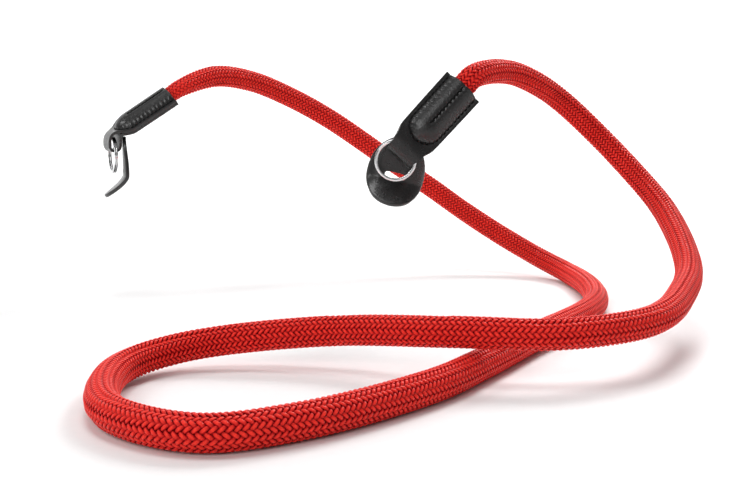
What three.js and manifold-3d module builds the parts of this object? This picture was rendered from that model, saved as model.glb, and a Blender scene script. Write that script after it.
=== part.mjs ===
// Camera neck strap: a round braided rope with a folded leather end at each side. Each end holds a
// split ring in its fold, with a loose leather pad behind the ring. Millimetres, +Z up. The origin is
// the slot of the right pad, where the strap hangs. The right end faces -Y, and the rope falls from
// both ends to a level surface, where it lies in a bight.
import * as THREE from 'three';
import { mergeVertices } from 'three/addons/utils/BufferGeometryUtils.js';
import Module from 'manifold-3d';

const wasm = await Module();
wasm.setup();

// Driving dimensions of the rope
const ROPE_DIAMETER = 10.2;
const ROPE_SIDES = 12;
const ROPE_STEPS = 80;
const ROPE_IN_TAB = 14.6;
const PRESSED = { thick: 0.55, wide: 0.95 };
const PRESS_FADES = 36;

// The rope's centre line, from inside the left leather end to inside the right one
const ROPE_ROUTE = [
  [-112.8, 68, 24.3], [-101.6, 73, 32.3], [-97.6, 75, 35.2], [-83.5, 90.5, 41.1],
  [-67.7, 106.4, 39.2], [-50.3, 119.6, 31.8], [-31, 128.3, 20.9], [-1.3, 134.7, 0.4],
  [21.2, 136.9, -14.6], [37.6, 135.4, -26.2], [56.3, 127.8, -38.1], [73.7, 114.6, -47.6],
  [84.6, 93.4, -52.2], [87.4, 49.7, -52.5], [83.2, 13.2, -52.5], [73.8, -12.9, -52.5],
  [45.5, -63.1, -52.5], [24.7, -101.8, -52.5], [7.9, -129.3, -52.5], [-27, -164.8, -52.5],
  [-51, -175.3, -52.5], [-76.9, -157.1, -52.5], [-86.2, -119, -52.3], [-81.3, -98.7, -51.4],
  [-64.6, -86.3, -49.2], [-22.5, -88.1, -44.6], [14.9, -104.4, -41.6], [48.1, -108.7, -41.4],
  [80.7, -89.2, -41], [98.6, -58.4, -37.6], [108.9, -28.6, -31.6], [111.6, 19.9, -15.2],
  [104.8, 41.6, -2.6], [90.5, 53.8, 14.3], [73, 49.7, 29.6], [57.8, 35.7, 38],
  [45.5, 23, 41.3], [30.8, 4.3, 38.8], [27, 2.3, 35.1], [17.3, -0.9, 24.7],
];

// Driving dimensions of the split rings
const RING_RADIUS = 7.58;
const WIRE_WIDTH = 1.25;
const WIRE_THICKNESS = 0.74;
const WIRE_CHAMFER = 0.2;
const COIL_SPACING = 0.82;
const COIL_START = 110;
const COIL_SWEEP = 680;
const CRANK_SWEEP = 40;
const RING_STEPS = 60;

// Driving dimensions of the leather ends, measured outwards from the middle of the ring
const LEATHER = 1.2;
const BEND_FROM = 5.5;
const BEND_TO = 11.5;
const TWIST_FROM = 8;
const TWIST_TO = 17;
const LIFT_HALF_WIDTH = 6.5;
const TAB_COLUMNS = 15;
const TUNNEL_FROM = 20;
const TUNNEL_HALF_WIDTH = 5.5;
const TUNNEL_WALL = 1;
const TUNNEL_SIDES = 20;
const POCKET_FROM = 2.4;
const POCKET_TO = 10.4;
const POCKET_HALF = 1.75;
const POCKET_FULL_TO = 8.3;
const POCKET_LENGTH = 30;

// One row for each section of a leather end: its distance from the ring's middle, its half width, its
// half thickness at the edges, and how far the rope lifts the front and the back leaf
const TAB_SECTIONS = [
  { along: 1.2, half: 5.5, edge: 0.6, front: 0, back: 0 },
  { along: 1.6, half: 5.7, edge: 1.6, front: 0, back: 0 },
  { along: 2.3, half: 5.9, edge: 2.3, front: 0, back: 0 },
  { along: 3.3, half: 6.1, edge: 2.8, front: 0, back: 0 },
  { along: 4.4, half: 6.3, edge: 2.95, front: 0, back: 0 },
  { along: 5.5, half: 6.5, edge: 2.95, front: 0, back: 0 },
  { along: 6.7, half: 6.7, edge: 2.95, front: 0, back: 0 },
  { along: 8, half: 6.9, edge: 2.85, front: 0, back: 0 },
  { along: 9.2, half: 7.2, edge: 2.3, front: 0, back: 0 },
  { along: 10.4, half: 7.7, edge: 1.6, front: 0, back: 0 },
  { along: 11.5, half: 8.2, edge: 1.25, front: 0.1, back: 0.1 },
  { along: 13, half: 8.35, edge: LEATHER, front: 0.8, back: 0.4 },
  { along: 15, half: 8.4, edge: LEATHER, front: 2, back: 1 },
  { along: 18, half: 8.45, edge: LEATHER, front: 3, back: 1.7 },
  { along: 21.5, half: 8.5, edge: LEATHER, front: 3.4, back: 2.1 },
  { along: 29, half: 8.6, edge: LEATHER, front: 3.6, back: 2.3 },
  { along: 40.2, half: 8.7, edge: LEATHER, front: 3.7, back: 2.4 },
];

// Driving dimensions of the loose pads, seen from the front with the slot level
const PAD_HALF_WIDTH = 12;
const PAD_HALF_HEIGHT = 13.4;
const PAD_TAPER = 0.18;
const PAD_THICKNESS = 1.6;
const PAD_FLAT_HALF = 5.5;
const PAD_FLARE_BELOW = -4;
const PAD_FLARE = 9;
const PAD_FLARE_POWER = 1.5;
const PAD_SLOT = { half: 4.2, halfHeight: 1.25, below: 2.4, squareness: 0.6 };
const PAD_SPOKES = 32;
const PAD_RINGS = 5;

// One row for each end of the strap: the middle of its ring, the way the ring faces, how far the
// leather leans to the right of upright, bends back behind the ring and twists, and how the pad lies:
// how far its slot is below and behind the ring's middle, how far it is turned from the ring and leans
// to the right, and the radius that its sides are bent to. Angles are in degrees.
const ENDS = [
  {
    side: 'left', ring: [-125.8, 62.2, 5.6], faces: -66, lean: 0, bend: 57, twist: 20,
    padPlace: [0, -7.6, -5.1], padTurn: -10, padLean: 0, padRadius: 24,
  },
  {
    side: 'right', ring: [0, -4.2, 6.2], faces: 0, lean: 43, bend: 13, twist: 0,
    padPlace: [0, -6.2, -4.2], padTurn: 0, padLean: 14, padRadius: 6,
  },
];

const radians = THREE.MathUtils.degToRad;

const braid = new THREE.MeshStandardMaterial({ color: 0xc9252b, roughness: 0.75, metalness: 0 });
const leather = new THREE.MeshStandardMaterial({ color: 0x1d1d1e, roughness: 0.5, metalness: 0 });
const steel = new THREE.MeshStandardMaterial({ color: 0xc8c9cb, roughness: 0.25, metalness: 1 });

// A surface through rings of points. An open run of rings is capped at both ends, and the rings of a
// capped run lie across Y.
function loft(rings, runsRound = false) {
  const count = rings[0].length;
  const positions = rings.flat().flatMap((point) => point.toArray());
  const triangles = [];
  const spans = runsRound ? rings.length : rings.length - 1;
  for (let i = 0; i < spans; i += 1) {
    const here = i * count;
    const next = ((i + 1) % rings.length) * count;
    for (let j = 0; j < count; j += 1) {
      const k = (j + 1) % count;
      triangles.push(here + j, here + k, next + j, here + k, next + k, next + j);
    }
  }
  if (!runsRound) {
    cap(rings[0], 0, 1, triangles);
    cap(rings[rings.length - 1], (rings.length - 1) * count, -1, triangles);
  }
  const geometry = new THREE.BufferGeometry();
  geometry.setAttribute('position', new THREE.Float32BufferAttribute(positions, 3));
  geometry.setIndex(triangles);
  return geometry;
}

// The flat end of a capped run, with its triangles turned the way that sign says
function cap(ring, first, sign, triangles) {
  const outline = ring.map((point) => new THREE.Vector2(point.x, point.z));
  for (const [a, b, c] of THREE.ShapeUtils.triangulateShape(outline, [])) {
    const area = THREE.ShapeUtils.area([outline[a], outline[b], outline[c]]);
    const order = area * sign > 0 ? [a, b, c] : [a, c, b];
    triangles.push(...order.map((corner) => first + corner));
  }
}

// A geometry as a solid that can be cut
function toSolid(geometry) {
  const bare = geometry.clone();
  bare.deleteAttribute('normal');
  bare.deleteAttribute('uv');
  const merged = mergeVertices(bare);
  const vertProperties = new Float32Array(merged.getAttribute('position').array);
  const triVerts = new Uint32Array(merged.index.array);
  return new wasm.Manifold(new wasm.Mesh({ numProp: 3, vertProperties, triVerts }));
}

function toGeometry(solid) {
  const { vertProperties, triVerts } = solid.getMesh();
  const geometry = new THREE.BufferGeometry();
  geometry.setAttribute('position', new THREE.Float32BufferAttribute(vertProperties, 3));
  geometry.setIndex(Array.from(triVerts));
  return geometry;
}

// Moves every corner of a geometry by a function of its place
function reshape(geometry, move) {
  const places = geometry.getAttribute('position');
  const point = new THREE.Vector3();
  for (let i = 0; i < places.count; i += 1) {
    move(point.fromBufferAttribute(places, i));
    places.setXYZ(i, point.x, point.y, point.z);
  }
  geometry.computeVertexNormals();
  return geometry;
}

// How far across the tab the rope's lift reaches: full in the middle, none at the edge seams
function liftAcross(x) {
  return Math.max(0, 1 - (x / LIFT_HALF_WIDTH) ** 2) ** 0.8;
}

// The outside of a folded strip at one row of its table: over the front leaf, then back along the back
function tabRing({ along, half, edge, front, back }) {
  const columns = Array.from({ length: TAB_COLUMNS }, (_, i) => half * ((2 * i) / (TAB_COLUMNS - 1) - 1));
  const over = columns.map((x) => new THREE.Vector3(x, along, edge + front * liftAcross(x)));
  const under = columns.map((x) => new THREE.Vector3(x, along, -edge - back * liftAcross(x)));
  return [...over, ...under.reverse()];
}

// The hollow that the rope's end is sewn into, a flattened round that is open at the mouth
function tunnelRing({ along, edge, front, back }) {
  const high = edge + front - TUNNEL_WALL;
  const low = -edge - back + TUNNEL_WALL;
  return Array.from({ length: TUNNEL_SIDES }, (_, i) => {
    const angle = Math.PI - (2 * Math.PI * i) / TUNNEL_SIDES;
    const z = (high + low) / 2 + ((high - low) / 2) * Math.sin(angle);
    return new THREE.Vector3(TUNNEL_HALF_WIDTH * Math.cos(angle), along, z);
  });
}

function tunnel() {
  const rows = TAB_SECTIONS.filter((row) => row.along > TUNNEL_FROM);
  const beyond = { ...rows[rows.length - 1], along: rows[rows.length - 1].along + LEATHER };
  return loft([...rows, beyond].map(tunnelRing));
}

// The eye of the fold that the ring goes through, open at both sides: round at the fold and tapering
// to nothing where the two leaves meet
function pocket() {
  const profile = new THREE.Shape();
  const middle = POCKET_FROM + POCKET_HALF;
  profile.absarc(middle, 0, POCKET_HALF, Math.PI / 2, Math.PI * 1.5);
  for (let along = middle + 1; along < POCKET_FULL_TO; along += 1) {
    profile.lineTo(along, -POCKET_HALF);
  }
  profile.lineTo(POCKET_FULL_TO, -POCKET_HALF);
  profile.lineTo(POCKET_TO, 0);
  profile.lineTo(POCKET_FULL_TO, POCKET_HALF);
  for (let along = Math.floor(POCKET_FULL_TO); along > middle; along -= 1) {
    profile.lineTo(along, POCKET_HALF);
  }
  const prism = new THREE.ExtrudeGeometry(profile, {
    depth: POCKET_LENGTH, bevelEnabled: false, curveSegments: 4,
  });
  prism.translate(0, 0, -POCKET_LENGTH / 2);
  return prism.applyMatrix4(new THREE.Matrix4().makeBasis(
    new THREE.Vector3(0, 1, 0), new THREE.Vector3(0, 0, 1), new THREE.Vector3(1, 0, 0),
  ));
}

// Bends what lies beyond the ring back and down behind it, by an arc between two distances
function bendBack(degrees) {
  const angle = radians(degrees);
  const radius = (BEND_TO - BEND_FROM) / angle;
  return (point) => {
    if (point.y <= BEND_FROM) {
      return;
    }
    const turned = angle * Math.min((point.y - BEND_FROM) / (BEND_TO - BEND_FROM), 1);
    const straight = Math.max(point.y - BEND_TO, 0);
    point.y = BEND_FROM + (radius + point.z) * Math.sin(turned) + straight * Math.cos(turned);
    point.z = (radius + point.z) * Math.cos(turned) - radius - straight * Math.sin(turned);
  };
}

// Twists what lies beyond the ring, so that its front turns to the right
function twistRound(degrees) {
  return (point) => {
    const turned = radians(degrees) * THREE.MathUtils.smoothstep(point.y, TWIST_FROM, TWIST_TO);
    const { x, z } = point;
    point.x = x * Math.cos(turned) + z * Math.sin(turned);
    point.z = z * Math.cos(turned) - x * Math.sin(turned);
  };
}

function tab(bend, twist) {
  const strip = toSolid(loft(TAB_SECTIONS.map(tabRing)));
  const hollowed = strip.subtract(toSolid(tunnel())).subtract(toSolid(pocket()));
  return reshape(reshape(toGeometry(hollowed), twistRound(twist)), bendBack(bend));
}

// The line of a split ring's wire: one flat coil, a short crank, and a second coil beside it
class SplitRing extends THREE.Curve {
  getPoint(t, target = new THREE.Vector3()) {
    const swept = t * COIL_SWEEP;
    const half = (COIL_SWEEP - CRANK_SWEEP) / 2;
    const side = THREE.MathUtils.smoothstep(swept, half, half + CRANK_SWEEP) - 0.5;
    const angle = radians(COIL_START + swept);
    return target.set(RING_RADIUS * Math.cos(angle), RING_RADIUS * Math.sin(angle), side * COIL_SPACING);
  }
}

function splitRing() {
  const thick = WIRE_THICKNESS / 2;
  const wide = WIRE_WIDTH / 2;
  const section = new THREE.Shape([
    new THREE.Vector2(-thick, -wide + WIRE_CHAMFER), new THREE.Vector2(-thick + WIRE_CHAMFER, -wide),
    new THREE.Vector2(thick - WIRE_CHAMFER, -wide), new THREE.Vector2(thick, -wide + WIRE_CHAMFER),
    new THREE.Vector2(thick, wide - WIRE_CHAMFER), new THREE.Vector2(thick - WIRE_CHAMFER, wide),
    new THREE.Vector2(-thick + WIRE_CHAMFER, wide), new THREE.Vector2(-thick, wide - WIRE_CHAMFER),
  ]);
  return new THREE.ExtrudeGeometry(section, { steps: RING_STEPS, extrudePath: new SplitRing() });
}

// A point of the bent pad from its place on the flat one, measured from the slot: its sides turn back
// round what it lies on, and its lower part flares out
function padPoint({ x, y }, off, radius) {
  const turn = Math.max(0, Math.abs(x) - PAD_FLAT_HALF) / radius;
  const below = Math.max(0, PAD_FLARE_BELOW - y) / (PAD_HALF_HEIGHT + PAD_FLARE_BELOW);
  const aside = Math.min(Math.abs(x), PAD_FLAT_HALF) + (radius + off) * Math.sin(turn);
  const out = (radius + off) * Math.cos(turn) - radius + PAD_FLARE * below ** PAD_FLARE_POWER;
  return new THREE.Vector3(Math.sign(x) * aside, y + PAD_SLOT.below, out);
}

// A point of the pad's slot at an angle, a rounded oblong below the middle
function slotEdge(angle) {
  const rounded = (value) => Math.sign(value) * Math.abs(value) ** PAD_SLOT.squareness;
  const x = PAD_SLOT.half * rounded(Math.cos(angle));
  return new THREE.Vector2(x, PAD_SLOT.halfHeight * rounded(Math.sin(angle)) - PAD_SLOT.below);
}

// A point of the pad's outer edge at an angle, an egg with its narrow end up
function padEdge(angle) {
  const x = PAD_HALF_WIDTH * Math.cos(angle) * (1 - PAD_TAPER * Math.sin(angle));
  return new THREE.Vector2(x, PAD_HALF_HEIGHT * Math.sin(angle));
}

function pad(radius) {
  const half = PAD_THICKNESS / 2;
  const spokes = Array.from({ length: PAD_SPOKES }, (_, i) => {
    const angle = (2 * Math.PI * i) / PAD_SPOKES;
    const run = Array.from({ length: PAD_RINGS + 1 }, (_, j) => (
      slotEdge(angle).lerp(padEdge(angle), j / PAD_RINGS)
    ));
    const front = run.map((place) => padPoint(place, half, radius));
    const back = run.map((place) => padPoint(place, -half, radius));
    return [...front, ...back.reverse()];
  });
  return reshape(loft(spokes, true), () => {});
}

// The rope as a plain tube, pressed flat where the leaves of each end hold it
function rope(flattened) {
  const route = new THREE.CatmullRomCurve3(ROPE_ROUTE.map((place) => new THREE.Vector3(...place)));
  const section = new THREE.Shape(Array.from({ length: ROPE_SIDES }, (_, i) => {
    const angle = (2 * Math.PI * i) / ROPE_SIDES;
    return new THREE.Vector2(Math.cos(angle), Math.sin(angle)).multiplyScalar(ROPE_DIAMETER / 2);
  }));
  const tube = new THREE.ExtrudeGeometry(section, { steps: ROPE_STEPS, extrudePath: route });
  const middles = route.getSpacedPoints(ROPE_STEPS);
  const step = route.getLength() / ROPE_STEPS;
  return reshape(tube, (point) => {
    const distances = middles.map((middle) => middle.distanceToSquared(point));
    const nearest = distances.indexOf(Math.min(...distances));
    const fromEnd = Math.min(nearest, ROPE_STEPS - nearest);
    const across = nearest === fromEnd ? flattened.left : flattened.right;
    const free = THREE.MathUtils.smoothstep(fromEnd * step, ROPE_IN_TAB, ROPE_IN_TAB + PRESS_FADES);
    const thick = THREE.MathUtils.lerp(PRESSED.thick, 1, free);
    const wide = THREE.MathUtils.lerp(PRESSED.wide, 1, free);
    point.sub(middles[nearest]).multiplyScalar(wide);
    point.addScaledVector(across, point.dot(across) * (thick / wide - 1)).add(middles[nearest]);
  });
}

function named(name, geometry, material) {
  const mesh = new THREE.Mesh(geometry, material);
  mesh.name = name;
  return mesh;
}

// Each end stands upright facing its own way. The leather leans in the ring's plane.
const strap = new THREE.Group();
const flattened = {};
for (const { side, ring, faces, lean, bend, twist, padPlace, padTurn, padLean, padRadius } of ENDS) {
  const end = new THREE.Group();
  end.position.set(...ring);
  end.rotation.set(Math.PI / 2, 0, radians(faces), 'ZYX');
  const loosePad = named(`pad_${side}`, pad(padRadius), leather);
  loosePad.position.set(...padPlace);
  loosePad.rotation.z = -radians(padLean);
  const behind = new THREE.Group();
  behind.rotation.y = radians(padTurn);
  behind.add(loosePad);
  const fold = new THREE.Group();
  fold.rotation.z = -radians(lean);
  fold.add(named(`tab_${side}`, tab(bend, twist), leather));
  end.add(named(`ring_${side}`, splitRing(), steel), behind, fold);
  strap.add(end);
  strap.updateMatrixWorld(true);
  const outwards = new THREE.Vector3(Math.sin(radians(twist)), 0, Math.cos(radians(twist)));
  outwards.applyAxisAngle(new THREE.Vector3(1, 0, 0), -radians(bend));
  flattened[side] = outwards.transformDirection(fold.matrixWorld);
}
strap.add(named('rope', rope(flattened), braid));

export default strap;
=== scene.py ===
import math

import bpy
import numpy as np
from mathutils import Matrix


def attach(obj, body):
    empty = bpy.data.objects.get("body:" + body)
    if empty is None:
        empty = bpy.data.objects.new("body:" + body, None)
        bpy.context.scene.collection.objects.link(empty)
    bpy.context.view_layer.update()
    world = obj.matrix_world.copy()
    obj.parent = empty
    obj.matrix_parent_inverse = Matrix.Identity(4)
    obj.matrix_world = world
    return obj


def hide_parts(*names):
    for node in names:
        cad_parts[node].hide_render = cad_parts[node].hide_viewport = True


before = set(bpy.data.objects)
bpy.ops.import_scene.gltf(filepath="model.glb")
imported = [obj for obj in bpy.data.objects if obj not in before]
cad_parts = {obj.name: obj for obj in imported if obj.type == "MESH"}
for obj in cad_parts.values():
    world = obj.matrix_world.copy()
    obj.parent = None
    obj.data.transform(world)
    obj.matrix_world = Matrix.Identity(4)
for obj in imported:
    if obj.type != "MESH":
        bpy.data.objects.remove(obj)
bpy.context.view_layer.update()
bpy.ops.object.select_all(action="DESELECT")


# Camera: at the height of the leather ends, looking a little down at the rope on the table.
bpy.ops.object.camera_add(location=(-0.008, -0.4425, 0.0269), rotation=(math.radians(82.8), 0, 0))
camera = bpy.context.object
camera.name = "camera"
camera.data.lens = 53.76
camera.data.sensor_width = 36
camera.data.clip_start = 0.02
bpy.context.scene.camera = camera


# Rope: a round braid of thirty-six red yarn strands, eighteen each way, woven two over and two under
# on a soft core. It leaves the left leather end, lies on the table in a loose loop and goes back up
# to the right leather end. Both its ends are pressed flat where the leather is sewn over them.
ROPE_DIAMETER = 0.0102
ROPE_ROUTE = [
    (-0.1128, 0.068, 0.0243), (-0.1016, 0.073, 0.0323), (-0.0976, 0.075, 0.0352),
    (-0.0835, 0.0905, 0.0411), (-0.0677, 0.1064, 0.0392), (-0.0503, 0.1196, 0.0318),
    (-0.031, 0.1283, 0.0209), (-0.0013, 0.1347, 0.0004), (0.0212, 0.1369, -0.0146),
    (0.0376, 0.1354, -0.0262), (0.0563, 0.1278, -0.0381), (0.0737, 0.1146, -0.0476),
    (0.0846, 0.0934, -0.0522), (0.0874, 0.0497, -0.0525), (0.0832, 0.0132, -0.0525),
    (0.0738, -0.0129, -0.0525), (0.0455, -0.0631, -0.0525), (0.0247, -0.1018, -0.0525),
    (0.0079, -0.1293, -0.0525), (-0.027, -0.1648, -0.0525), (-0.051, -0.1753, -0.0525),
    (-0.0769, -0.1571, -0.0525), (-0.0862, -0.119, -0.0523), (-0.0813, -0.0987, -0.0514),
    (-0.0646, -0.0863, -0.0492), (-0.0225, -0.0881, -0.0446), (0.0149, -0.1044, -0.0416),
    (0.0481, -0.1087, -0.0414), (0.0807, -0.0892, -0.041), (0.0986, -0.0584, -0.0376),
    (0.1089, -0.0286, -0.0316), (0.1116, 0.0199, -0.0152), (0.1048, 0.0416, -0.0026),
    (0.0905, 0.0538, 0.0143), (0.073, 0.0497, 0.0296), (0.0578, 0.0357, 0.038),
    (0.0455, 0.023, 0.0413), (0.0308, 0.0043, 0.0388), (0.027, 0.0023, 0.0351),
    (0.0173, -0.0009, 0.0247),
]
END_LEFT = {"ring": (-0.1258, 0.0622, 0.0056), "faces": -66, "lean": 0, "bend": 57, "twist": 20}
END_RIGHT = {"ring": (0, -0.0042, 0.0062), "faces": 0, "lean": 43, "bend": 13, "twist": 0}
BEND_FROM = 0.0055
BEND_TO = 0.0115
TWIST_FROM = 0.008
TWIST_TO = 0.017
IN_LEATHER = 0.0146
PRESSED_THICK = 0.56
PRESSED_WIDE = 0.97
PRESS_FADES = 0.026


def line_through(points, steps=30):
    """Close points on the smooth line that the rope takes through its route."""
    p = np.array(points)
    p = np.vstack([2 * p[0] - p[1], p, 2 * p[-1] - p[-2]])
    t = np.linspace(0, 1, steps, endpoint=False)[:, None]
    stretches = []
    for a, b, c, d in zip(p, p[1:], p[2:], p[3:]):
        before, between, after = (math.sqrt(np.linalg.norm(v)) for v in (b - a, c - b, d - c))
        leave = ((b - a) / before - (c - a) / (before + between) + (c - b) / between) * between
        arrive = ((c - b) / between - (d - b) / (between + after) + (d - c) / after) * between
        held = (2 * t**3 - 3 * t**2 + 1) * b + (3 * t**2 - 2 * t**3) * c
        stretches.append(held + (t**3 - 2 * t**2 + t) * leave + (t**3 - t**2) * arrive)
    return np.vstack(stretches + [p[-2:-1]])


def bent_back(end, points):
    """Leather laid flat along y, twisted and turned back behind its neck as at that end."""
    x, y, z = np.moveaxis(np.asarray(points, float), -1, 0)
    part = np.clip((y - TWIST_FROM) / (TWIST_TO - TWIST_FROM), 0, 1)
    twist = math.radians(end["twist"]) * part * part * (3 - 2 * part)
    x, z = x * np.cos(twist) + z * np.sin(twist), z * np.cos(twist) - x * np.sin(twist)
    angle = math.radians(end["bend"])
    radius = (BEND_TO - BEND_FROM) / angle
    turned = angle * np.clip((y - BEND_FROM) / (BEND_TO - BEND_FROM), 0, 1)
    straight = np.maximum(y - BEND_TO, 0)
    along = BEND_FROM + (radius + z) * np.sin(turned) + straight * np.cos(turned)
    out = (radius + z) * np.cos(turned) - radius - straight * np.sin(turned)
    return np.stack([x, np.where(y > BEND_FROM, along, y), np.where(y > BEND_FROM, out, z)], axis=-1)


def at_end(end, points, lean):
    """Points round a ring, x across it, y up and z out of it, put where that end of the strap hangs."""
    turn = Matrix.Rotation(math.radians(end["faces"]), 3, "Z") @ Matrix.Rotation(math.radians(90), 3, "X")
    turn = turn @ Matrix.Rotation(math.radians(-lean), 3, "Z")
    return np.asarray(points) @ np.array(turn).T + np.array(end["ring"])


def leaf_normal(end):
    """The way that the front leaf of that leather end faces."""
    foot_and_tip = bent_back(end, [(0, 0.03, 0), (0, 0.03, 0.001)])
    foot, tip = at_end(end, foot_and_tip, end["lean"])
    return (tip - foot) / np.linalg.norm(tip - foot)


route_line = line_through(ROPE_ROUTE)
route_run = np.concatenate([[0], np.cumsum(np.linalg.norm(np.diff(route_line, axis=0), axis=1))])
ROPE_LENGTH = float(route_run[-1])
rope_run = np.linspace(0, ROPE_LENGTH, 1200)
rope_line = np.column_stack([np.interp(rope_run, route_run, route_line[:, k]) for k in range(3)])
rope_heading = np.gradient(rope_line, axis=0)
rope_heading /= np.linalg.norm(rope_heading, axis=1, keepdims=True)
rope_side = np.zeros_like(rope_line)
side = np.cross(rope_heading[0], (0, 0, 1))
for step, heading in enumerate(rope_heading):
    side = side - heading * (side @ heading)
    side /= np.linalg.norm(side)
    rope_side[step] = side
rope_lift = np.cross(rope_heading, rope_side)
rope_curve = np.gradient(rope_heading, rope_run, axis=0)
rope_bend = np.linalg.norm(rope_curve, axis=1)


def on_rope(run, turn, radius):
    """Points at that run along the rope, turn round it and radius from its middle, pressed at the ends."""
    middle, across, up = (
        np.stack([np.interp(run, rope_run, way[:, k]) for k in range(3)], axis=-1)
        for way in (rope_line, rope_side, rope_lift)
    )
    offset = radius[..., None] * (np.cos(turn)[..., None] * across + np.sin(turn)[..., None] * up)
    for end, from_mouth in ((END_LEFT, run - IN_LEATHER), (END_RIGHT, ROPE_LENGTH - IN_LEATHER - run)):
        normal = leaf_normal(end)
        free = np.clip(from_mouth / PRESS_FADES, 0, 1) ** 0.6
        thick = PRESSED_THICK + (1 - PRESSED_THICK) * free
        wide = PRESSED_WIDE + (1 - PRESSED_WIDE) * free
        through = (offset @ normal)[..., None] * normal
        offset = (offset - through) * wide[..., None] + through * thick[..., None]
    return middle + offset


def tubes(name, rings, run):
    """One mesh of closed tubes, from rings of points by tube and step, with a map of run and turn."""
    count, steps, sides, _ = rings.shape
    first = np.arange(count * (steps - 1)).reshape(count, steps - 1)
    first = (first + np.arange(count)[:, None])[..., None] * sides
    here = np.arange(sides)
    there = (here + 1) % sides
    walls = np.stack([first + here, first + there, first + there + sides, first + here + sides], axis=-1)
    starts = (np.arange(count) * steps * sides)[:, None] + here[::-1]
    stops = (np.arange(count) * steps * sides + (steps - 1) * sides)[:, None] + here
    mesh = bpy.data.meshes.new(name)
    mesh.from_pydata(
        rings.reshape(-1, 3).tolist(), [],
        walls.reshape(-1, 4).tolist() + starts.tolist() + stops.tolist(),
    )
    along = np.stack([run[:, :-1], run[:, :-1], run[:, 1:], run[:, 1:]], axis=-1)[:, :, None, :]
    around = np.stack([here, here + 1, here + 1, here], axis=-1) / sides
    shape = (count, steps - 1, sides, 4)
    walls_map = np.stack([np.broadcast_to(along, shape), np.broadcast_to(around, shape)], axis=-1)
    walls_map = walls_map.reshape(-1, 2)
    caps_map = np.zeros((2 * count * sides, 2))
    uv = mesh.uv_layers.new(name="run_and_turn")
    uv.data.foreach_set("uv", np.vstack([walls_map, caps_map]).astype(np.float32).ravel())
    mesh.shade_smooth()
    piece = bpy.data.objects.new(name, mesh)
    bpy.context.scene.collection.objects.link(piece)
    return piece


class Paint:
    """A socket of a material's node tree, for writing its maths as plain expressions."""

    def __init__(self, tree, socket=None):
        self.tree = tree
        self.socket = socket

    def node(self, kind, settings=None, values=None, output=0):
        """Any other node: its settings, what goes into its sockets, and the output that is wanted."""
        made = self.tree.nodes.new(kind)
        for key, value in (settings or {}).items():
            setattr(made, key, value)
        for key, value in (values or {}).items():
            if isinstance(value, Paint):
                self.tree.links.new(value.socket, made.inputs[key])
            else:
                made.inputs[key].default_value = value
        return Paint(self.tree, made.outputs[output])

    def math(self, operation, *terms):
        return self.node("ShaderNodeMath", {"operation": operation}, dict(enumerate(terms)))

    def __add__(self, other):
        return self.math("ADD", self, other)

    def __mul__(self, other):
        return self.math("MULTIPLY", self, other)

    def __sub__(self, other):
        return self.math("SUBTRACT", self, other)

    def __rsub__(self, other):
        return self.math("SUBTRACT", other, self)

    def __pow__(self, other):
        return self.math("POWER", self, other)

    __radd__ = __add__
    __rmul__ = __mul__


def material(name):
    """A new material, as its paint and its shader."""
    made = bpy.data.materials.new(name)
    made.use_nodes = True
    return made, Paint(made.node_tree), made.node_tree.nodes["Principled BSDF"]


def feed(paint, shader, **sockets):
    """Links what varies over the surface into the shader."""
    for key, value in sockets.items():
        paint.tree.links.new(value.socket, shader.inputs[key.replace("_", " ")])


# Yarn red: lit and shaded copies of the red, mixed by the rise attribute. It paints shade where a strand
# dives under the others and along its sides between strands, and painted light on the tops of its floats.
# Fibres and cloudy give the yarn's own uneven tone.
YARN_SHADE = (0.38, 0.001, 0.01, 1)
YARN_LIGHT = (0.97, 0.044, 0.03, 1)
braid_red, paint, shader = material("braid_red")
yarn = paint.node("ShaderNodeUVMap", {"uv_map": "run_and_turn"})
fibre_way = paint.node("ShaderNodeVectorMath", {"operation": "MULTIPLY"}, {0: yarn, 1: (900, 14, 1)})
fibres = paint.node("ShaderNodeTexNoise", {}, {"Vector": fibre_way, "Scale": 1.0, "Detail": 3.0})
place = paint.node("ShaderNodeTexCoord", output="Object")
cloudy = paint.node("ShaderNodeTexNoise", {}, {"Vector": place, "Scale": 120.0, "Detail": 2.0})
rise = paint.node("ShaderNodeAttribute", {"attribute_name": "rise"}, output="Fac")
yarn_tone_and_shade = fibres * 0.3 + cloudy * 0.2 + rise ** 1.5 - 0.22
colour = paint.node(
    "ShaderNodeMix", {"data_type": "RGBA"},
    {"Factor": yarn_tone_and_shade, 6: YARN_SHADE, 7: YARN_LIGHT}, 2,
)
bump = paint.node("ShaderNodeBump", {}, {"Height": fibres, "Strength": 0.35, "Distance": 0.0002})
feed(paint, shader, Base_Color=colour, Roughness=0.52 - fibres * 0.25, Normal=bump)
shader.inputs["Specular IOR Level"].default_value = 0.2
shader.inputs["Specular Tint"].default_value = (1, 0.35, 0.22, 1)

CORE_RADIUS = 0.00385
CORE_SIDES = 14
CORE_STEPS = 620
CORE_INSET = 0.001
core_turn = np.linspace(0, 2 * math.pi, CORE_SIDES, endpoint=False)
core_run = np.linspace(CORE_INSET, ROPE_LENGTH - CORE_INSET, CORE_STEPS)
core_radius = np.full((CORE_STEPS, CORE_SIDES), CORE_RADIUS)
core_rings = on_rope(core_run[:, None], core_turn[None, :], core_radius)
# The core has no rise attribute, so it takes the painted shade colour where it shows between the strands.
rope = tubes("rope_core", core_rings[None], core_run[None])
rope.data.materials.append(braid_red)

STRANDS = 18
LAY = 0.0345
PITCH = LAY / STRANDS
STRAND_MIDDLE = 0.00415
WEAVE = 0.00052
STRAND_HALF_WIDTH = 0.00057
STRAND_HALF_THICK = 0.00043
STRAND_INSET = 0.008
STRAND_NARROWEST = 0.6
STRAND_WIDEST = 1.1
YARN_SHIFT = 0.37
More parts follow.
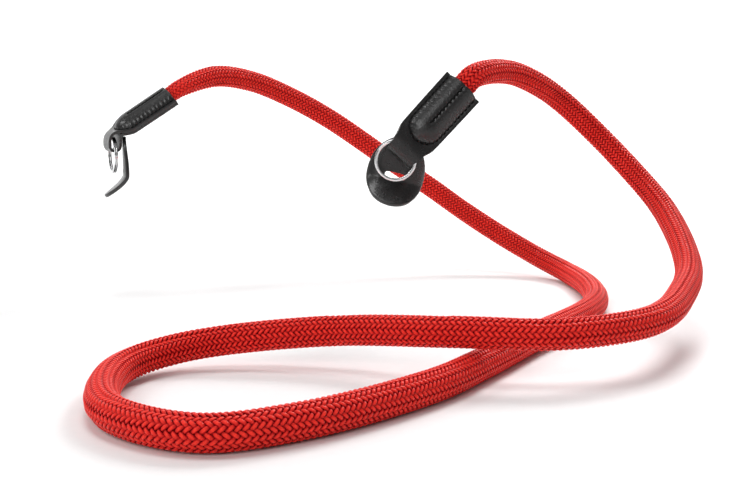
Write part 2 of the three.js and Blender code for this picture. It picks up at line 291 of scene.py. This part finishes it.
# Where a strand is set over its two-over, two-under turn, and how high it lies there.
FLOAT_AT = np.array((-0.17, 0, 0.17, 0.33, 0.5, 0.67))
FLOAT_OVER = np.array((0.75, 1, 0.75, -0.75, -1, -0.75))
OUTSIDE_KEEPS = 0.4
PLEAT_DEPTH = 0.0004
PLEATS = 7
PLEATS_FROM_BEND = 10
PLEATS_FULL_BEND = 30
STRAND_SECTION = np.array([(1, 0), (0.52, 0.86), (-0.52, 0.86), (-1, 0), (0, -0.8)])
# How light the yarn's colour is painted across its section: painted shade on its sides and underneath,
# where neighbouring strands shade it.
SECTION_LIGHT = np.array([0.18, 1, 1, 0.18, 0])
packing = 1 + OUTSIDE_KEEPS * ROPE_DIAMETER / 2 * rope_bend
braid_run = np.concatenate([[0], np.cumsum(np.diff(rope_run) * (packing[1:] + packing[:-1]) / 2)])
curve_aside = np.sum(rope_curve * rope_side, axis=1)
curve_up = np.sum(rope_curve * rope_lift, axis=1)


def braid_strands(name, hand, first):
    """Every second strand that runs round the rope one way, over two and under two of the other way's."""
    number = np.arange(first, STRANDS, 2)[:, None]
    ends = np.interp((STRAND_INSET, ROPE_LENGTH - STRAND_INSET), rope_run, braid_run)
    start, stop = ends / (2 * PITCH)
    floats = (np.arange(int(start), int(stop))[:, None] + FLOAT_AT).ravel()
    woven = (2 * floats + 0.5 - 0.25 * hand + first) * PITCH
    over = np.tile(FLOAT_OVER, (len(number), len(woven) // len(FLOAT_OVER)))
    run = np.broadcast_to(np.interp(woven, braid_run, rope_run), over.shape)
    turn = 2 * math.pi * (number / STRANDS + hand * woven / LAY)
    tight = np.interp(run, rope_run, rope_bend) - PLEATS_FROM_BEND
    tight = np.clip(tight / (PLEATS_FULL_BEND - PLEATS_FROM_BEND), 0, 1)
    pleat = PLEAT_DEPTH * tight * (0.5 + 0.5 * np.cos(PLEATS * turn)) ** 3
    radius = STRAND_MIDDLE + WEAVE * over - pleat
    middle = on_rope(run, turn, radius)
    up = on_rope(run, turn, radius + 0.0005) - middle
    up /= np.linalg.norm(up, axis=-1, keepdims=True)
    heading = np.gradient(middle, axis=1)
    across = np.cross(heading, up)
    across /= np.linalg.norm(across, axis=-1, keepdims=True)
    inward = np.interp(run, rope_run, curve_aside) * np.cos(turn)
    inward = inward + np.interp(run, rope_run, curve_up) * np.sin(turn)
    squeeze = (1 - inward * radius) / np.interp(run, rope_run, packing)
    squeeze = np.clip(squeeze, STRAND_NARROWEST, STRAND_WIDEST)
    half_width = STRAND_HALF_WIDTH * (0.94 + 0.1 * over) * squeeze
    rings = (
        middle[:, :, None]
        + STRAND_SECTION[:, 0, None] * half_width[:, :, None, None] * across[:, :, None]
        + STRAND_SECTION[:, 1, None] * STRAND_HALF_THICK * up[:, :, None]
    )
    piece = tubes(name, rings, run + number * YARN_SHIFT)
    # The rise attribute is painted shade: darker where the strand goes under the others and on its sides,
    # lighter on its floats.
    height = piece.data.attributes.new("rise", "FLOAT", "POINT")
    lit = np.clip(over, 0.15, 1)[:, :, None] * SECTION_LIGHT
    height.data.foreach_set("value", lit.astype(np.float32).ravel())
    piece.data.materials.append(braid_red)
    return piece


strands = [
    braid_strands("strands_right_even", 1, 0),
    braid_strands("strands_right_odd", 1, 1),
    braid_strands("strands_left_even", -1, 0),
    braid_strands("strands_left_odd", -1, 1),
]
for piece in [rope] + strands:
    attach(piece, "strap")
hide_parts("rope")


# Leather ends: each is one strip of black leather folded in half round its ring. The two leaves are
# pinched together below the ring, then part over the rope's end, and are sewn round the rope's end,
# along both edges, and down the middle through the rope.
LEATHER = 0.0012
TAB_LENGTH = 0.0396
TAB_ALONG = np.array([1.2, 4.4, 5.5, 6.7, 8, 9.2, 10.4, 11.5, 15, 21.5, 29, 40.2]) / 1000
TAB_HALF = np.array([5.5, 6.3, 6.5, 6.7, 6.9, 7.2, 7.7, 8.2, 8.4, 8.5, 8.6, 8.7]) / 1000
TAB_EDGE = np.array([2.95, 2.95, 2.95, 2.95, 2.85, 2.3, 1.6, 1.25, 1.22, 1.22, 1.22, 1.22]) / 1000
TAB_EASE = 0.0009
FOLD_MIDDLE = 0.00415
FOLD_RADIUS = 0.00235
BULGE_HALF = 0.0063
BULGE_FROM = 0.0114
BULGE_FULL = 0.0178
BULGE_FRONT = 0.0037
BULGE_BACK = 0.0024
SEAM_HALF = 0.0069
SEAM_TO = 0.0387
MIDDLE_SEAM_FROM = 0.0185
STITCH = 0.0021


def eased(along, values):
    """A size of the leather end at that place along it, without corners between the given ones."""
    around = np.linspace(-TAB_EASE, TAB_EASE, 5)
    return np.mean([np.interp(along + near, TAB_ALONG, values) for near in around], axis=0)


def seam_distance(across, along):
    """How far a place on a leaf is outside the seam that goes round the rope's end."""
    round_end = np.hypot(across, (BULGE_FULL - along) * SEAM_HALF / (BULGE_FULL - BULGE_FROM + 0.0005))
    return np.where(along < BULGE_FULL, round_end, np.abs(across)) - SEAM_HALF


def seams(across, along):
    """How far the seams draw a leaf in, how it pleats beside them and how the middle seam creases it."""
    outside = seam_distance(across, along)
    sewn = np.clip((along - BULGE_FROM) / 0.0015, 0, 1)
    groove = np.exp(-((outside / 0.00045) ** 2)) * sewn
    uneven = 0.7 + 0.3 * np.sin(along * 2300 + np.sign(across))
    beside = np.exp(-(((outside + 0.0011) / 0.0011) ** 2)) * (outside < 0) * sewn * uneven
    pleats = beside * np.cos(2 * math.pi * (along + 0.35 * np.abs(across)) / STITCH)
    drawn = np.clip((along - MIDDLE_SEAM_FROM + 0.001) / 0.003, 0, 1)
    holes = 0.75 + 0.25 * np.cos(2 * math.pi * (along - MIDDLE_SEAM_FROM) / STITCH)
    crease = drawn * holes * np.exp(-((across / 0.0008) ** 2))
    return groove, pleats, crease


def leaf(across, along, bulge):
    """Height of a leaf's middle over the plane between the leaves, with its bulge and its seams."""
    short = np.maximum(BULGE_FULL - along, 0) / (BULGE_FULL - BULGE_FROM)
    end_on = np.sqrt(np.clip(1 - short**2, 0.0001, 1))
    dome = np.maximum(0, 1 - (across / (BULGE_HALF * end_on)) ** 2) ** 0.62
    rise = bulge * end_on * (0.94 + 0.06 * np.clip((along - BULGE_FULL) / 0.02, 0, 1)) * dome
    groove, pleats, crease = seams(across, along)
    drawn_in = 0.0002 * groove - 0.0002 * pleats + 0.0006 * crease
    return eased(along, TAB_EDGE) - LEATHER / 2 + rise - drawn_in


black_leather, paint, shader = material("black_leather")
place = paint.node("ShaderNodeTexCoord", output="Object")
pebble = paint.node("ShaderNodeTexVoronoi", {"feature": "SMOOTH_F1"}, {"Vector": place, "Scale": 1500.0})
pores = paint.node("ShaderNodeTexNoise", {}, {"Vector": place, "Scale": 2600.0, "Detail": 3.0})
worn = paint.node("ShaderNodeTexNoise", {}, {"Vector": place, "Scale": 160.0, "Detail": 4.0})
# The drawn attribute paints shade into the seam grooves and the middle crease, and a painted highlight on
# the pleat crests beside the seams. The noises give the leather's own wear and grain.
drawn = paint.node("ShaderNodeAttribute", {"attribute_name": "drawn"}, output="Fac")
wear_and_seam_shade = worn * 0.7 + pores * 0.5 + pebble * 0.5 - drawn - 0.45
colour = paint.node(
    "ShaderNodeMix", {"data_type": "RGBA"},
    {"Factor": wear_and_seam_shade, 6: (0.002, 0.002, 0.002, 1), 7: (0.032, 0.031, 0.031, 1)}, 2,
)
grain = pebble * 0.6 + pores * 0.4
bump = paint.node("ShaderNodeBump", {}, {"Height": grain, "Strength": 0.8, "Distance": 0.00015})
feed(paint, shader, Base_Color=colour, Roughness=0.42 - wear_and_seam_shade * 0.3, Normal=bump)
shader.inputs["Specular IOR Level"].default_value = 0.6


def finish_leather(piece, thickness, round_edge):
    """Gives a sheet of leather its thickness and rounded edges, and its finish."""
    wall = piece.modifiers.new("wall", "SOLIDIFY")
    wall.thickness = thickness
    wall.offset = 0
    edge = piece.modifiers.new("edge", "BEVEL")
    edge.width = round_edge
    edge.segments = 2
    edge.limit_method = "ANGLE"
    edge.angle_limit = math.radians(60)
    for modifier in ("wall", "edge"):
        bpy.ops.object.modifier_apply(modifier=modifier)
    bpy.ops.object.mode_set(mode="EDIT")
    bpy.ops.mesh.select_all(action="SELECT")
    bpy.ops.mesh.normals_make_consistent(inside=False)
    bpy.ops.object.mode_set(mode="OBJECT")
    bpy.ops.object.shade_smooth_by_angle(angle=math.radians(45))
    piece.data.materials.append(black_leather)
    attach(piece, "strap")
    piece.select_set(False)


def leather_end(name, end, node):
    """One folded strip, from the front leaf's mouth round the fold to the back leaf's mouth."""
    bpy.ops.mesh.primitive_grid_add(x_subdivisions=60, y_subdivisions=260, size=2)
    piece = bpy.context.object
    piece.name = name
    flat = np.array([v.co for v in piece.data.vertices])
    fold_run = FOLD_RADIUS * math.pi / 2
    run = np.abs(flat[:, 1]) * (fold_run + TAB_LENGTH - FOLD_MIDDLE)
    front = flat[:, 1] > 0
    turn = np.minimum(run, fold_run) / FOLD_RADIUS
    along = np.where(run < fold_run, FOLD_MIDDLE - FOLD_RADIUS * np.cos(turn), FOLD_MIDDLE + run - fold_run)
    across = flat[:, 0] * eased(along, TAB_HALF)
    height = np.where(front, leaf(across, along, BULGE_FRONT), leaf(across, along, BULGE_BACK))
    height = np.where(run < fold_run, FOLD_RADIUS * np.sin(turn), height) * np.where(front, 1, -1)
    points = at_end(end, bent_back(end, np.column_stack([across, along, height])), end["lean"])
    piece.data.vertices.foreach_set("co", points.astype(np.float32).ravel())
    groove, pleats, crease = seams(across, along)
    # Painted shade in the seam grooves and the middle crease, painted highlight on the pleat crests.
    drawn = piece.data.attributes.new("drawn", "FLOAT", "POINT")
    drawn.data.foreach_set("value", (0.5 * groove - 0.5 * pleats + 0.4 * crease).astype(np.float32))
    finish_leather(piece, LEATHER, 0.00025)
    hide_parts(node)


leather_end("leather_left", END_LEFT, "tab_left")
leather_end("leather_right", END_RIGHT, "tab_right")


# Sewing thread: waxed black thread, one seam round each leather end and a doubled one down its middle,
# in stitches that sink into the leather at both ends.
THREAD = 0.00038
STITCH_SHOWS = 0.62

black_thread, paint, shader = material("black_thread")
strand_map = paint.node("ShaderNodeUVMap", {"uv_map": "run_and_turn"})
twist_way = paint.node("ShaderNodeVectorMath", {"operation": "MULTIPLY"}, {0: strand_map, 1: (3, 2, 1)})
twist = paint.node(
    "ShaderNodeTexWave", {"bands_direction": "DIAGONAL"},
    {"Vector": twist_way, "Scale": 1.0},
)
colour = paint.node(
    "ShaderNodeMix", {"data_type": "RGBA"},
    {"Factor": twist, 6: (0.0005, 0.0005, 0.0005, 1), 7: (0.003, 0.003, 0.003, 1)}, 2,
)
bump = paint.node("ShaderNodeBump", {}, {"Height": twist, "Strength": 0.4, "Distance": 0.0001})
feed(paint, shader, Base_Color=colour, Normal=bump)
shader.inputs["Roughness"].default_value = 0.7
shader.inputs["Specular IOR Level"].default_value = 0.15


def seam_line(corners):
    """Stitch ends a stitch apart along a line of corners on the flat leaf."""
    corners = np.array(corners)
    run = np.concatenate([[0], np.cumsum(np.linalg.norm(np.diff(corners, axis=0), axis=1))])
    stops = np.linspace(0, run[-1], int(round(run[-1] / STITCH)) + 1)
    return np.column_stack([np.interp(stops, run, corners[:, k]) for k in range(2)])


bow = np.linspace(-math.pi / 2, math.pi / 2, 40)
round_seam = [(-SEAM_HALF, SEAM_TO)]
round_seam += [
    (SEAM_HALF * math.sin(t), BULGE_FULL - (BULGE_FULL - BULGE_FROM + 0.0005) * math.cos(t)) for t in bow
]
round_seam += [(SEAM_HALF, SEAM_TO)]
first_pass = seam_line([(-0.0002, MIDDLE_SEAM_FROM), (-0.0002, SEAM_TO)])
second_pass = seam_line([(0.0003, MIDDLE_SEAM_FROM + STITCH / 2), (0.0003, SEAM_TO - STITCH / 2)])


def sewing(name, end):
    """All the stitches that show on both faces of a leather end."""
    seam = seam_line(round_seam)
    starts = np.vstack([seam[:-1], first_pass[:-1], second_pass[:-1]])
    stops = np.vstack([seam[1:], first_pass[1:], second_pass[1:]])
    part = np.linspace(0.5 - STITCH_SHOWS / 2, 0.5 + STITCH_SHOWS / 2, 6)
    sunk = np.array([-0.0003, 0.00004, 0.0001, 0.0001, 0.00004, -0.0003])
    sides = np.linspace(0, 2 * math.pi, 6, endpoint=False)
    flat = starts[:, None] + (stops - starts)[:, None] * part[:, None]
    way = (stops - starts) / np.linalg.norm(stops - starts, axis=1, keepdims=True)
    rings = []
    for face, bulge in ((1, BULGE_FRONT), (-1, BULGE_BACK)):
        height = leaf(flat[..., 0], flat[..., 1], bulge) + LEATHER / 2 + sunk
        middle = np.concatenate([flat, height[..., None] * face], axis=-1)
        aside = np.column_stack([-way[:, 1], way[:, 0], 0 * way[:, 0]])[:, None, None]
        ring = np.cos(sides)[:, None] * aside + np.sin(sides)[:, None] * np.array((0, 0, face))
        rings.append(middle[:, :, None] + THREAD * (ring if face > 0 else ring[:, :, ::-1]))
    rings = np.concatenate(rings)
    points = at_end(end, bent_back(end, rings), end["lean"])
    piece = tubes(name, points, np.tile(part, (len(rings), 1)))
    piece.data.materials.append(black_thread)
    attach(piece, "strap")


sewing("sewing_left", END_LEFT)
sewing("sewing_right", END_RIGHT)


# Split rings: flat steel wire wound twice round with a crank from coil to coil, bright plated, and
# sprung open to go through the leather's fold.
RING_RADIUS = 0.00758
WIRE_WIDTH = 0.00125
WIRE_THICKNESS = 0.00074
WIRE_ROUND = 0.00022
COIL_SPACING = 0.00082
COIL_START = 110
COIL_SWEEP = 320
COIL_STEPS = 140
CRANK_SWEEP = 40
CRANK_STEPS = 20

bright_steel, paint, shader = material("bright_steel")
place = paint.node("ShaderNodeTexCoord", output="Object")
scuff = paint.node("ShaderNodeTexNoise", {}, {"Vector": place, "Scale": 900.0, "Detail": 4.0})
colour = paint.node(
    "ShaderNodeMix", {"data_type": "RGBA"},
    {"Factor": scuff, 6: (0.72, 0.72, 0.73, 1), 7: (0.88, 0.88, 0.88, 1)}, 2,
)
feed(paint, shader, Base_Color=colour, Roughness=0.06 + scuff * 0.2)
shader.inputs["Metallic"].default_value = 1


def split_ring(name, end, node):
    """A wire's section swept round one coil, along the crank and round the other coil."""
    bpy.ops.mesh.primitive_plane_add(size=1)
    piece = bpy.context.object
    piece.name = name
    bpy.ops.object.mode_set(mode="EDIT")
    bpy.ops.transform.resize(value=(WIRE_WIDTH, WIRE_THICKNESS, 1))
    bpy.ops.mesh.bevel(offset=WIRE_ROUND, affect="VERTICES", segments=3)
    bpy.ops.object.mode_set(mode="OBJECT")
    start = math.radians(COIL_START)
    for vertex in piece.data.vertices:
        out = RING_RADIUS + vertex.co.x
        vertex.co = (out * math.cos(start), out * math.sin(start), vertex.co.y - COIL_SPACING / 2)
    bpy.ops.object.mode_set(mode="EDIT")
    bpy.ops.mesh.select_all(action="SELECT")
    coil = math.radians(COIL_SWEEP)
    crank = math.radians(CRANK_SWEEP / CRANK_STEPS)
    bpy.ops.mesh.spin(steps=COIL_STEPS, angle=coil, center=(0, 0, 0), axis=(0, 0, 1))
    part = np.linspace(0, 1, CRANK_STEPS + 1)
    for rise in np.diff(part * part * (3 - 2 * part)) * COIL_SPACING:
        bpy.ops.mesh.spin(steps=1, angle=crank, center=(0, 0, 0), axis=(0, 0, 1))
        bpy.ops.transform.translate(value=(0, 0, rise))
    bpy.ops.mesh.spin(steps=COIL_STEPS, angle=coil, center=(0, 0, 0), axis=(0, 0, 1))
    bpy.ops.mesh.select_all(action="SELECT")
    bpy.ops.mesh.normals_make_consistent(inside=False)
    bpy.ops.object.mode_set(mode="OBJECT")
    points = at_end(end, [v.co for v in piece.data.vertices], 0)
    piece.data.vertices.foreach_set("co", points.astype(np.float32).ravel())
    bpy.ops.object.shade_smooth_by_angle(angle=math.radians(50))
    piece.data.materials.append(bright_steel)
    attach(piece, node)
    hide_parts(node)
    piece.select_set(False)


split_ring("wire_left", END_LEFT, "ring_left")
split_ring("wire_right", END_RIGHT, "ring_right")


# Pads: loose black leather guards with a slot cut for the lug, narrower to the top, bent round at both
# sides and curled forward at the bottom.
PAD_HALF_WIDTH = 0.012
PAD_HALF_HEIGHT = 0.0134
PAD_TAPER = 0.18
PAD_THICKNESS = 0.0016
PAD_FLAT_HALF = 0.0055
PAD_FLARE_BELOW = -0.004
PAD_FLARE = 0.009
SLOT_HALF = 0.0042
SLOT_HALF_HEIGHT = 0.00125
SLOT_BELOW = 0.0024
SLOT_SQUARENESS = 0.6
PAD_RINGS = 14


def leather_pad(name, end, node, place, turned, lean, side_radius):
    """A ring of edges at the slot, drawn out to the pad's rim, bent to its shape and hung on its slot."""
    bpy.ops.mesh.primitive_circle_add(vertices=96, radius=1, fill_type="NOTHING")
    piece = bpy.context.object
    piece.name = name
    bpy.ops.object.mode_set(mode="EDIT")
    bpy.ops.mesh.select_all(action="SELECT")
    for ring in range(1, PAD_RINGS + 1):
        bpy.ops.mesh.extrude_edges_move()
        bpy.ops.transform.resize(value=((ring + 1) / ring, (ring + 1) / ring, 1))
    bpy.ops.object.mode_set(mode="OBJECT")
    x, y, _ = np.array([v.co for v in piece.data.vertices]).T
    out = (np.hypot(x, y) - 1) / PAD_RINGS
    round_x, round_y = x / np.hypot(x, y), y / np.hypot(x, y)
    slot_x = SLOT_HALF * np.sign(round_x) * np.abs(round_x) ** SLOT_SQUARENESS
    slot_y = SLOT_HALF_HEIGHT * np.sign(round_y) * np.abs(round_y) ** SLOT_SQUARENESS - SLOT_BELOW
    rim_x = PAD_HALF_WIDTH * round_x * (1 - PAD_TAPER * round_y)
    rim_y = PAD_HALF_HEIGHT * round_y
    x = slot_x + (rim_x - slot_x) * out
    y = slot_y + (rim_y - slot_y) * out
    turn = np.maximum(np.abs(x) - PAD_FLAT_HALF, 0) / side_radius
    below = np.maximum(PAD_FLARE_BELOW - y, 0) / (PAD_HALF_HEIGHT + PAD_FLARE_BELOW)
    aside = np.minimum(np.abs(x), PAD_FLAT_HALF) + side_radius * np.sin(turn)
    forward = side_radius * (np.cos(turn) - 1) + PAD_FLARE * below**1.5
    points = np.column_stack([np.sign(x) * aside, y + SLOT_BELOW, forward])
    points = points @ np.array(Matrix.Rotation(math.radians(-lean), 3, "Z")).T + place
    points = at_end(end, points @ np.array(Matrix.Rotation(math.radians(turned), 3, "Y")).T, 0)
    piece.data.vertices.foreach_set("co", points.astype(np.float32).ravel())
    finish_leather(piece, PAD_THICKNESS, 0.0003)
    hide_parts(node)


leather_pad(
    "guard_left", END_LEFT, "pad_left", (0, -0.0076, -0.0051),
    turned=-10, lean=0, side_radius=0.024,
)
leather_pad(
    "guard_right", END_RIGHT, "pad_right", (0, -0.0062, -0.0042),
    turned=0, lean=14, side_radius=0.006,
)


# Table and studio: a white paper sweep that glows towards the back. A lamp behind, a broad one in front,
# a small one at the left and one overhead light it.
FLOOR = -0.0576
bpy.ops.mesh.primitive_plane_add(size=1, location=(0, -2.8, FLOOR))
sweep = bpy.context.object
sweep.name = "sweep"
sweep.scale = (14, 9, 1)
bpy.ops.object.transform_apply()
bpy.ops.object.mode_set(mode="EDIT")
bpy.ops.mesh.select_all(action="DESELECT")
bpy.ops.object.mode_set(mode="OBJECT")
for edge in sweep.data.edges:
    edge.select = all(sweep.data.vertices[v].co.y > 0 for v in edge.vertices)
bpy.ops.object.mode_set(mode="EDIT")
bpy.ops.mesh.extrude_edges_move(TRANSFORM_OT_translate={"value": (0, 0, 2.4)})
bpy.ops.object.mode_set(mode="OBJECT")
turn_up = sweep.modifiers.new("turn_up", "BEVEL")
turn_up.width = 0.8
turn_up.segments = 16
bpy.ops.object.modifier_apply(modifier="turn_up")
bpy.ops.object.shade_smooth()
white_paper, paint, shader = material("white_paper")
place = paint.node("ShaderNodeTexCoord", output="Object")
tooth = paint.node("ShaderNodeTexNoise", {}, {"Vector": place, "Scale": 400.0})
colour = paint.node(
    "ShaderNodeMix", {"data_type": "RGBA"},
    {"Factor": tooth, 6: (0.86, 0.86, 0.86, 1), 7: (0.9, 0.9, 0.9, 1)}, 2,
)
depth = paint.node("ShaderNodeSeparateXYZ", {}, {"Vector": place}, "Y")
glow = paint.node(
    "ShaderNodeMapRange", {"interpolation_type": "SMOOTHSTEP"},
    {"Value": depth, 1: 0.3, 2: 1.5},
)
lit = paint.node(
    "ShaderNodeMix", {"data_type": "RGBA"},
    {"Factor": glow, 6: (0, 0, 0, 1), 7: (1, 1, 1, 1)}, 2,
)
feed(paint, shader, Base_Color=colour, Emission_Color=lit)
shader.inputs["Emission Strength"].default_value = 0.6
shader.inputs["Roughness"].default_value = 0.6
sweep.data.materials.append(white_paper)

for place, size, power in (
    ((0.42, 0.72, 0.75), 0.4, 7),
    ((-0.75, -0.1, 0.6), 0.25, 1.3),
    ((-0.6, -1.5, 0.9), 1.0, 12),
    ((-0.1, 0.1, 1.7), 0.8, 11),
):
    bpy.ops.object.light_add(type="AREA", location=place)
    lamp = bpy.context.object
    lamp.data.size = size
    lamp.data.energy = power
    lamp.rotation_euler = (-lamp.location).to_track_quat("-Z", "Y").to_euler()
bpy.context.scene.world = bpy.data.worlds.new("studio")
bpy.context.scene.world.use_nodes = True
air = bpy.context.scene.world.node_tree.nodes["Background"]
air.inputs["Color"].default_value = (1, 1, 1, 1)
air.inputs["Strength"].default_value = 0.2
bpy.context.scene.view_settings.view_transform = "Standard"
